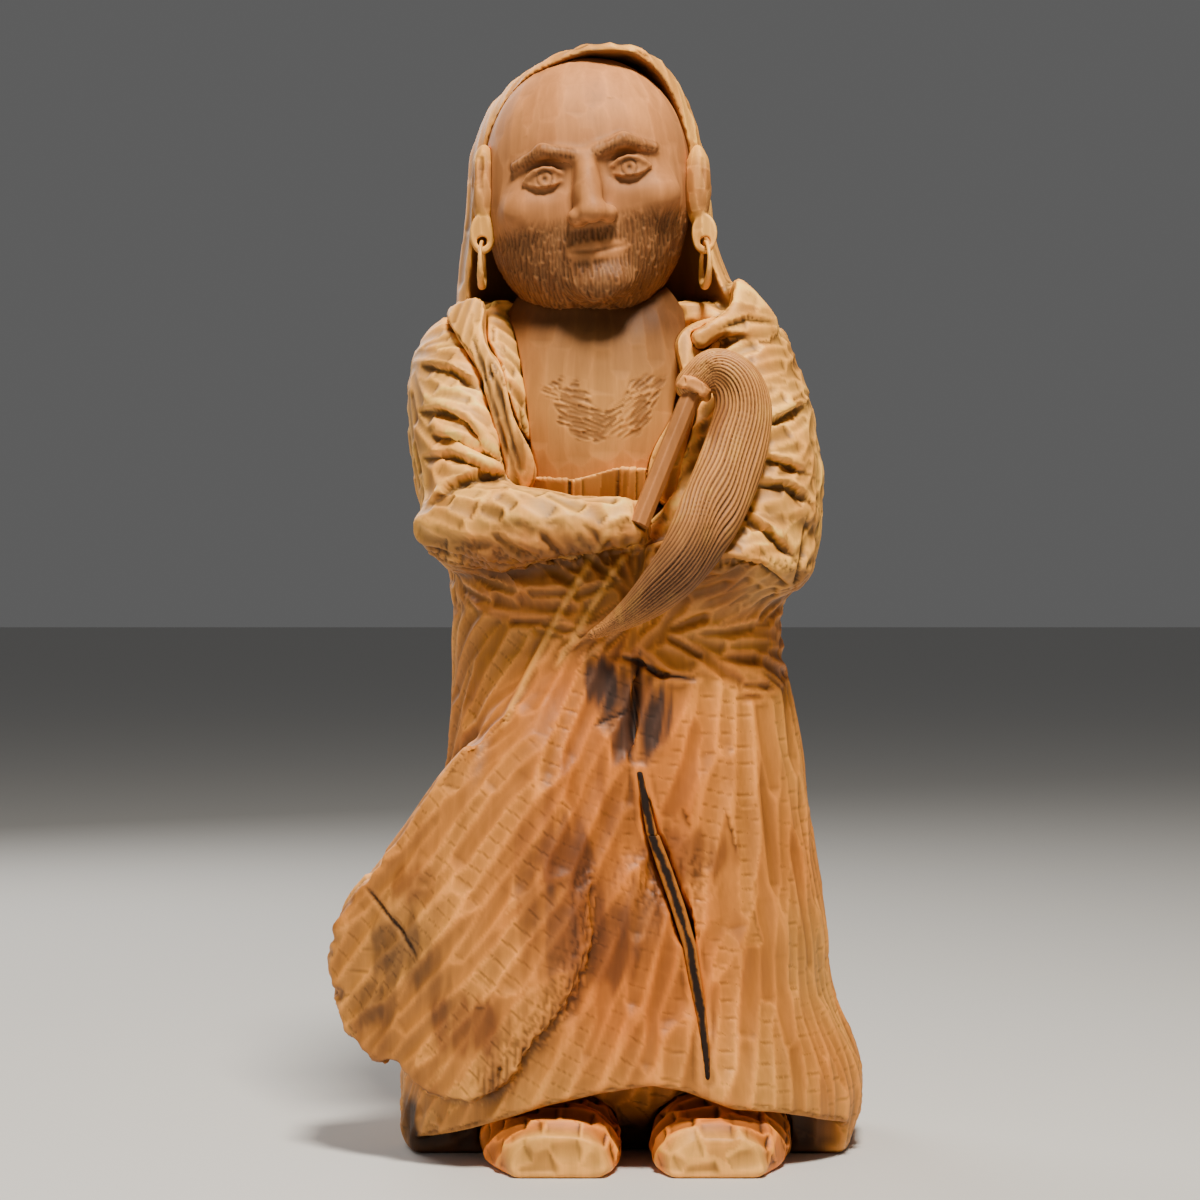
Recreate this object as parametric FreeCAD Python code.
"""Standing robed monk figure, chisel-carved from one log, about 600 mm tall.

Millimetres. +Z is up, the figure faces -Y and its left side is +X. The origin is on the floor, under the
middle of the figure. Each carved form is one closed solid, and forms of the same block meet face to face.
Only the two ring earrings are loose: each hangs through the hole in an ear lobe and swings about it.
"""
import FreeCAD, Part
import math
import os

V = FreeCAD.Vector

# ---- Driving dimensions -------------------------------------------------------------------------------
TOP = 602.0                # crown of the hood above the floor
WAIST = 292.0              # where the upper robe meets the skirt
SHOULDER = 458.0           # top of the shoulders, where the hood rests
HOOD_WALL = 5.0            # thickness of the hood's edge
HOOD_OPENING_Y = -44.0     # plane of the hood's front edge
BACK_CAP = 44.0            # thickness of wood left behind the head inside the hood
HEAD_X = -7.0              # the head leans a little to the figure's right
NECK_Z = 432.0             # bottom of the neck, inside the robe
NECK_HEIGHT = 46.0
EAR_Z = 526.0              # middle of each ear's upper shell
EAR_SHELL_RADII = (7.5, 10, 23)
EAR_LOBE_RADII = (8.0, 60, 12.5)
SKIN_Y = 52.0              # half depth of the bare chest
CHEST_BACK_Y = -16.0       # where the chest and the clothes on it end inside the robe
CHEST_MIDDLE = (-2, 0, 404)
CHEST_RADII = (66, SKIN_Y, 92)
CLOTHES_HALF_HEIGHT = 96.0
RIGHT_LAPEL_SIZE = (SKIN_Y + 20, 118)      # half depth, half width of the oval that it is cut from
LEFT_LAPEL_SIZE = (SKIN_Y + 16, 104)
BAND_SIZE = (SKIN_Y + 7, 82)
PLEAT_XS = (-18, 8)        # where the band's pleats step
PLEAT_GROOVE = 2.0
COLLAR_FOLD_BACK_Y = 14.0  # how far back the fold lies on the shoulder and against the hood
COLLAR_FOLD_MIDDLE = (20, 0, 440)
COLLAR_FOLD_RADII = (96, 66, 60)
LOBE_Y = -28.0             # middle of each pierced ear lobe
LOBE_THICKNESS = 5.0
LOBE_HOLE_R = 2.8
RING_R = 12.0              # centre line of a ring earring
RING_WIRE_R = 1.1          # at the top, where it passes through the lobe
RING_DROP_R = 2.3          # at the bottom, where it is thickest
RING_YAW = 9.0             # degrees that a ring's plane is turned from the lobe hole's axis
RING_PIVOT_Z = 495.0
LEFT_RING_X = 57.5
RIGHT_RING_X = -64.5
LEFT_EAR_INSET = 4.0       # how far an ear's shell stands in from its ring, towards the head
RIGHT_EAR_INSET = 1.0
HANDLE_R = 6.2
KNOB_R = 9.5
KNOB_THICKNESS = 6.0
KNOB_ROUNDING = 1.6
RIGHT_FOOT_X = -22.0
LEFT_FOOT_X = 60.0
HEM_ARCH_BACK_Y = -46.0    # how far back the hem is cut away over the feet
TOE_Y = -112.0             # front of the feet
FILLER_DEPTH = 34.0        # how deep the check in the skirt is filled
MARGIN = 40.0              # how far cutting shapes run past what they cut

# The robe's outline: height, right side, left side, front, back.
UPPER_ROBE = [
    (WAIST, -82, 103, -70, 78),
    (311, -84, 108, -69, 79),
    (335, -88, 112, -66, 80),
    (370, -92, 113, -62, 82),
    (405, -96, 110, -58, 82),
    (432, -94, 102, -52, 80),
    (450, -84, 88, -44, 74),
    (SHOULDER + 6, -70, 70, -34, 64),
]
SKIRT = [
    (0, -108, 139, -104, 110),
    (24, -111, 146, -105, 112),
    (44, -110, 146, -104, 111),
    (72, -107, 134, -99, 106),
    (110, -101, 127, -93, 100),
    (160, -93, 120, -85, 92),
    (205, -86, 114, -78, 85),
    (250, -82, 106, -73, 80),
    (WAIST, -82, 103, -70, 78),
]
HOOD = [
    (SHOULDER - 8, -80, 80, -56, 76),
    (474, -79, 74, -52, 78),
    (495, -77, 66, -48, 79),
    (522, -74, 61, -47, 78),
    (550, -71, 57, -47, 74),
    (571, -62, 51, -47, 66),
    (587, -47, 43, -46, 52),
    (597, -28, 32, -44, 34),
    (TOP, -6, 14, -32, 10),
]
SKULL = [
    (457, -24, 24, -44, -2),
    (466, -38, 37, -56, 14),
    (482, -49, 48, -62, 26),
    (505, -55, 55, -64, 34),
    (530, -57, 57, -63, 40),
    (555, -54, 54, -60, 40),
    (576, -44, 44, -52, 32),
    (590, -29, 29, -40, 18),
    (596, -13, 13, -28, 4),
]
# Each upper arm's outline in the same form: height, right side, left side, front, back.
RIGHT_UPPER_ARM = [
    (314, -82, -44, -58, 2),
    (332, -94, -38, -68, 22),
    (355, -100, -34, -71, 34),
    (383, -104.5, -33, -66, 38),
    (411, -106, -33, -58, 38),
    (438, -102, -36, -44, 34),
    (456, -88, -46, -26, 22),
]
LEFT_UPPER_ARM = [
    (302, 64, 104, -58, 2),
    (318, 54, 117, -70, 20),
    (340, 48, 121.5, -75, 34),
    (362, 46, 123, -73, 40),
    (388, 46, 119.5, -70, 40),
    (411, 47, 114, -64, 38),
    (438, 48, 107, -50, 34),
    (456, 56, 92, -30, 22),
]
# Centre lines, each with the half depth and half width across at every point.
RIGHT_FOREARM = [
    (-78, -38, 341, 20, 22),
    (-60, -56, 339, 27, 27),
    (-36, -69, 336, 24, 22),
    (-6, -79, 337, 18, 17),
    (26, -84, 340, 12, 12),
]
LEFT_FOREARM = [
    (102, -34, 334, 20, 24),
    (84, -52, 328, 28, 28),
    (64, -65, 322, 25, 22),
    (44, -72, 318, 20, 17),
    (24, -76, 317, 14, 12),
]
WHISK_HAIR = [
    (50, -75, 417, 5, 6),
    (60, -75, 423, 9, 8),
    (72, -74, 418, 13, 10),
    (77, -74, 402, 14, 12),
    (73, -77, 384, 14, 12.5),
    (64, -82, 363, 14, 12.5),
    (53, -88, 341, 13, 12),
    (41, -90, 320, 12, 10),
    (25, -86, 302, 9, 6.5),
    (8, -79, 289, 6, 3.5),
    (-5, -75, 281, 3, 1.5),
]
HANDLE_FOOT = V(20, -91, 338)
HANDLE_HEAD = V(48.4, -75.2, 408.5)

# Outlines seen from the front, as (x, z).
FLAP_OUTLINE = [
    (-36, 250), (-60, 232), (-84, 207), (-116, 163), (-138, 136), (-147, 112), (-144, 84),
    (-128, 58), (-108, 47), (-88, 38), (-52, 43), (-37, 63), (-21, 82), (-9, 104), (-4, 150), (-14, 210),
]
CHEST_OUTLINE = [(-50, 468), (44, 468), (46, 430), (40, 404), (32, 366), (-39, 362), (-48, 396), (-53, 430)]
NECK_OPENING = [
    (-72, 480), (60, 480), (62, 440), (52, 404), (42, 366), (30, 344),
    (-40, 344), (-52, 368), (-62, 404), (-70, 436),
]
BAND_OUTLINE = [(-40, 366), (-14, 364), (8, 370), (31, 370), (28, 346), (-36, 346)]
RIGHT_LAPEL_OUTLINE = [
    (-77, 462), (-64, 462), (-62, 442), (-54, 426), (-46, 396), (-36, 362),
    (-44, 354), (-52, 372), (-57, 396), (-64, 418), (-76, 440),
]
LEFT_LAPEL_OUTLINE = [
    (56, 452), (70, 452), (64, 436), (56, 420), (50, 396), (44, 372),
    (36, 350), (28, 358), (38, 396), (44, 420),
]
COLLAR_FOLD_OUTLINE = [
    (50, 444), (61, 450), (71, 461), (74, 475), (82, 470), (94, 457), (98, 449), (92, 442), (74, 442),
    (60, 438), (52, 434),
]
HEM_LINE = [
    (-130, 4), (-108, 6), (-92, 12), (-69, 20), (-28, 35), (0, 42), (27, 46), (44, 43), (69, 33), (93, 30),
    (109, 26), (135, 17), (160, 5),
]
# The check in the skirt, filled with two slivers: centre line points with the half width there.
FILLER_LINES = {
    "crack_filler_upper": [(21, 208, 0.9), (24, 192, 1.6), (27.5, 175.3, 2.3)],
    "crack_filler_lower": [
        (28.2, 174.7, 2.6), (34, 158, 3.2), (41, 138, 3.2), (47, 118, 2.9), (50, 100, 2.5),
        (53.5, 80, 1.9), (55.5, 64, 1.4), (56.2, 50, 0.7),
    ],
}


# ---- Shape helpers ------------------------------------------------------------------------------------
def closed_spline(points):
    """One smooth closed wire through the points."""
    curve = Part.BSplineCurve()
    curve.interpolate(Points=points, PeriodicFlag=True)
    return Part.Wire([curve.toShape()])


def level_ring(height, right, left, front, back, squareness=2.4):
    """A horizontal oval through its four extreme points. A squareness of 2 is an ellipse."""
    middle_x = (right + left) / 2.0
    half_width = (left - right) / 2.0
    middle_y = (front + back) / 2.0
    half_depth = (back - front) / 2.0
    points = []
    for step in range(16):
        angle = 2.0 * math.pi * step / 16
        c, s = math.cos(angle), math.sin(angle)
        reach = (abs(c) ** squareness + abs(s) ** squareness) ** (-1 / squareness)
        points.append(V(middle_x + half_width * reach * c, middle_y + half_depth * reach * s, height))
    return closed_spline(points)


def level_loft(rings, squareness=2.4):
    return Part.makeLoft([level_ring(*ring, squareness) for ring in rings], True, False)


def tube(stations):
    """A loft of ellipses along a centre line. Their half depth lies towards Y, their half width across."""
    centres = [V(*station[:3]) for station in stations]
    wires = []
    for i, (x, y, z, half_depth, half_width) in enumerate(stations):
        ahead = centres[min(i + 1, len(centres) - 1)]
        behind = centres[max(i - 1, 0)]
        along = (ahead - behind).normalize()
        depth_way = V(0, 1, 0) - along * along.y
        depth_way.normalize()
        across = along.cross(depth_way)
        points = []
        for step in range(12):
            angle = 2.0 * math.pi * step / 12
            away = depth_way * (half_depth * math.sin(angle)) + across * (half_width * math.cos(angle))
            points.append(centres[i] + away)
        wires.append(closed_spline(points))
    return Part.makeLoft(wires, True, False)


def front_prism(outline, front, back, smooth=True):
    """A solid whose front view is the outline, from y = front to y = back."""
    points = [V(x, front, z) for x, z in outline]
    wire = closed_spline(points) if smooth else Part.makePolygon(points + points[:1])
    return Part.Face(wire).extrude(V(0, back - front, 0))


def ellipsoid(centre, radii):
    ball = Part.makeSphere(1.0)
    matrix = FreeCAD.Matrix()
    matrix.scale(*radii)
    matrix.move(V(*centre))
    return ball.transformGeometry(matrix)


def largest_solid(shape):
    return max(shape.Solids, key=lambda solid: solid.Volume)


# ---- The robe -----------------------------------------------------------------------------------------
def make_skirt_block():
    """The skirt before the windblown flap, the filler slivers and the feet take their room from it."""
    block = level_loft(SKIRT)
    below_hem = [(-170, -MARGIN)] + HEM_LINE + [(170, -MARGIN)]
    return largest_solid(block.cut(front_prism(below_hem, -150, HEM_ARCH_BACK_Y, smooth=False)))


def make_flap():
    """The front of the skirt blown out to the figure's right: an outline, curved round the body."""
    levels = []
    tip_back = -14
    for height, front, tip_front in ((20, -103, -64), (120, -97, -60), (260, -79, -52)):
        points = [
            V(30, front + 8, height), V(0, front + 1, height), V(-45, front, height),
            V(-95, front * 0.62 + tip_front * 0.38, height), V(-135, tip_front, height),
            V(-160, tip_front + 18, height), V(-162, tip_back - 6, height), V(-130, tip_back, height),
            V(-60, tip_back, height), V(20, tip_back - 10, height),
        ]
        levels.append(closed_spline(points))
    curved = Part.makeLoft(levels, True, False)
    return largest_solid(curved.common(front_prism(FLAP_OUTLINE, -150, 20)))


def make_filler(line, skirt_block):
    """A sliver let into the check, flush with the skirt's face."""
    one_side = [(x - half, z) for x, z, half in line]
    other_side = [(x + half, z) for x, z, half in reversed(line)]
    prism = front_prism(one_side + other_side, -140, -92 + FILLER_DEPTH, smooth=False)
    return largest_solid(skirt_block.common(prism))


def make_base_core():
    """The middle of the log behind the feet. It reaches the floor behind the hem and carries the figure."""
    return level_loft([(0, -66, 92, -34, 80), (20, -68, 96, -52, 82), (60, -66, 94, -60, 82)])


def make_sleeve(upper_arm, forearm):
    """One folded arm in its sleeve: a near-level forearm let into a bulky upper arm."""
    return largest_solid(level_loft(upper_arm, 2.1).fuse(tube(forearm)))


# ---- Head, hood and ears ------------------------------------------------------------------------------
def make_head():
    skull = level_loft(SKULL, 2.1)
    skull.translate(V(HEAD_X, 0, 0))
    neck = Part.makeCone(30, 27, NECK_HEIGHT, V(HEAD_X, -10, NECK_Z), V(0, 0, 1))
    nose = ellipsoid((HEAD_X, -63, 517), (8, 12, 17))
    return largest_solid(skull.fuse([neck, nose]).removeSplitter())


def make_hood():
    """The hood's outside, hollowed round the head. Its back is left solid."""
    outside = level_loft(HOOD, 2.1)
    inside_rings = []
    for height, right, left, front, back in HOOD:
        inner_back = max(10, back - BACK_CAP)
        inside_rings.append(
            (height - HOOD_WALL, right + HOOD_WALL, left - HOOD_WALL, front - MARGIN, inner_back)
        )
    inside_rings[0] = (SHOULDER - MARGIN,) + inside_rings[0][1:]
    hollow = level_loft(inside_rings, 2.1)
    in_front = Part.makeBox(300, 100, 260, V(-150, HOOD_OPENING_Y - 100, SHOULDER + 12))
    return largest_solid(outside.cut([hollow, in_front]))


def make_ear(ring_x, side, inset):
    """A long ear: the upper shell, and a lobe that faces forward and is pierced for the ring."""
    shell = ellipsoid((ring_x - inset * side, LOBE_Y + 4, EAR_Z), EAR_SHELL_RADII)
    lobe = ellipsoid((ring_x - 0.5 * side, 0, RING_PIVOT_Z + 4.5), EAR_LOBE_RADII)
    slab_corner = V(ring_x - MARGIN, LOBE_Y - LOBE_THICKNESS / 2, RING_PIVOT_Z - MARGIN)
    slab = Part.makeBox(2 * MARGIN, LOBE_THICKNESS, 2 * MARGIN, slab_corner)
    hole = Part.makeCylinder(LOBE_HOLE_R, 60, V(ring_x, LOBE_Y - 30, RING_PIVOT_Z), V(0, 1, 0))
    return largest_solid(shell.fuse(lobe.common(slab)).cut(hole))


def make_ring(ring_x, yaw):
    """A ring that hangs from the lobe hole, thin at the top and thick at the bottom."""
    wires = []
    steps = 16
    for step in range(steps):
        angle = 2.0 * math.pi * step / steps
        radial = V(0, math.sin(angle), math.cos(angle))
        sideways = V(1, 0, 0)
        thick = RING_WIRE_R + (RING_DROP_R - RING_WIRE_R) * ((1 - math.cos(angle)) / 2) ** 2
        centre = V(0, 0, -RING_R) + radial * RING_R
        circle = [
            centre + radial * (thick * math.cos(turn)) + sideways * (thick * math.sin(turn))
            for turn in [2.0 * math.pi * k / 8 for k in range(8)]
        ]
        wires.append(closed_spline(circle))
    ring = Part.makeLoft(wires, True, False, True)
    ring.rotate(V(0, 0, 0), V(0, 0, 1), yaw)
    ring.translate(V(ring_x, LOBE_Y, RING_PIVOT_Z))
    return ring


# ---- Chest and collar ---------------------------------------------------------------------------------
def make_chest():
    body = ellipsoid(CHEST_MIDDLE, CHEST_RADII)
    return largest_solid(body.common(front_prism(CHEST_OUTLINE, -80, CHEST_BACK_Y)))


def make_front_strip(outline, half_depth, half_width, smooth=True):
    """A piece of the clothes laid over the chest: an outline cut from a slightly larger oval."""
    body = ellipsoid(CHEST_MIDDLE, (half_width, half_depth, CLOTHES_HALF_HEIGHT))
    return largest_solid(body.common(front_prism(outline, -100, CHEST_BACK_Y, smooth)))


def make_upper_robe():
    """The body of the upper robe, open at the front between the lapels."""
    return largest_solid(level_loft(UPPER_ROBE).cut(front_prism(NECK_OPENING, -150, -20)))


def make_under_robe_band():
    """The under-robe's upper edge: three flat pleats, each stepped in front of the next."""
    band = make_front_strip(BAND_OUTLINE, *BAND_SIZE, smooth=False)
    grooves = []
    for x in PLEAT_XS:
        grooves.append(Part.makeBox(PLEAT_GROOVE, 10, 40, V(x, -(SKIN_Y + 12), 340)))
    return largest_solid(band.cut(grooves))


def make_collar_fold():
    """The hood's edge turned back over the left shoulder, with a thick lip."""
    body = ellipsoid(COLLAR_FOLD_MIDDLE, COLLAR_FOLD_RADII)
    return largest_solid(body.common(front_prism(COLLAR_FOLD_OUTLINE, -100, COLLAR_FOLD_BACK_Y)))


# ---- Whisk --------------------------------------------------------------------------------------------
def make_handle():
    along = HANDLE_HEAD - HANDLE_FOOT
    return Part.makeCylinder(HANDLE_R, along.Length, HANDLE_FOOT, along)


def make_knob():
    along = (HANDLE_HEAD - HANDLE_FOOT).normalize()
    disc = Part.makeCylinder(KNOB_R, KNOB_THICKNESS, HANDLE_HEAD, along)
    return disc.makeFillet(KNOB_ROUNDING, disc.Edges)


# ---- Feet ---------------------------------------------------------------------------------------------
def make_foot(middle_x, outward):
    """A blunt foot with a flat sole and a cut toe face, splayed a little outwards."""
    sections = [(TOE_Y, 25, 21, 0), (-104, 29, 26, 0), (-84, 36, 31, 2), (-58, 38, 36, 5), (-30, 34, 40, 6)]
    # Half of the upper outline, as shares of the half width and of the height.
    profile = [(0.86, 0.0), (1.0, 0.34), (0.72, 0.82)]
    wires = []
    for y, half_width, height, drift in sections:
        x = middle_x + outward * drift
        right_side = [V(x - half_width * across, y, height * up) for across, up in profile]
        left_side = [V(x + half_width * across, y, height * up) for across, up in reversed(profile)]
        points = right_side + [V(x, y, height)] + left_side
        over = Part.BSplineCurve()
        over.interpolate(points)
        wires.append(Part.Wire([over.toShape(), Part.makeLine(points[-1], points[0])]))
    return Part.makeLoft(wires, True, False)


# ---- Assembly -----------------------------------------------------------------------------------------
def build():
    skirt_block = make_skirt_block()
    forms = {
        "left_earring": make_ring(LEFT_RING_X, RING_YAW),
        "right_earring": make_ring(RIGHT_RING_X, -RING_YAW / 3),
        "left_ear": make_ear(LEFT_RING_X, 1, LEFT_EAR_INSET),
        "right_ear": make_ear(RIGHT_RING_X, -1, RIGHT_EAR_INSET),
        "head": make_head(),
        "whisk_knob": make_knob(),
        "whisk_handle": make_handle(),
        "whisk_hair": tube(WHISK_HAIR),
        "collar_fold": make_collar_fold(),
        "right_foot": make_foot(RIGHT_FOOT_X, -1),
        "left_foot": make_foot(LEFT_FOOT_X, 1),
        "right_lapel": make_front_strip(RIGHT_LAPEL_OUTLINE, *RIGHT_LAPEL_SIZE),
        "left_lapel": make_front_strip(LEFT_LAPEL_OUTLINE, *LEFT_LAPEL_SIZE),
        "right_sleeve": make_sleeve(RIGHT_UPPER_ARM, RIGHT_FOREARM),
        "left_sleeve": make_sleeve(LEFT_UPPER_ARM, LEFT_FOREARM),
        "chest": make_chest(),
        "under_robe_band": make_under_robe_band(),
        "robe_flap": make_flap(),
    }
    for name, line in FILLER_LINES.items():
        forms[name] = make_filler(line, skirt_block)
    forms["hood"] = make_hood()
    forms["upper_robe"] = make_upper_robe()
    forms["base_core"] = make_base_core()
    forms["skirt"] = skirt_block
    return forms


def make_room(forms):
    """Cuts every form by the ones listed before it, so that they meet face to face and none overlaps.

    The cuts are made one at a time, because one cut by many shapes can miss one of them.
    """
    done = {}
    for name, shape in forms.items():
        others = [other for other in done.values() if other.BoundBox.intersect(shape.BoundBox)]
        if name.endswith("earring"):
            others = []
        for other in others:
            shape = largest_solid(shape.cut(other))
        done[name] = shape
    return done


def main():
    os.makedirs("parts", exist_ok=True)
    for old in os.listdir("parts"):
        os.remove(os.path.join("parts", old))
    for name, shape in make_room(build()).items():
        print(f"{name:22s} volume {shape.Volume / 1000:9.2f} cm3  valid {shape.isValid()}")
        shape.exportStep(f"parts/{name}.step")


main()
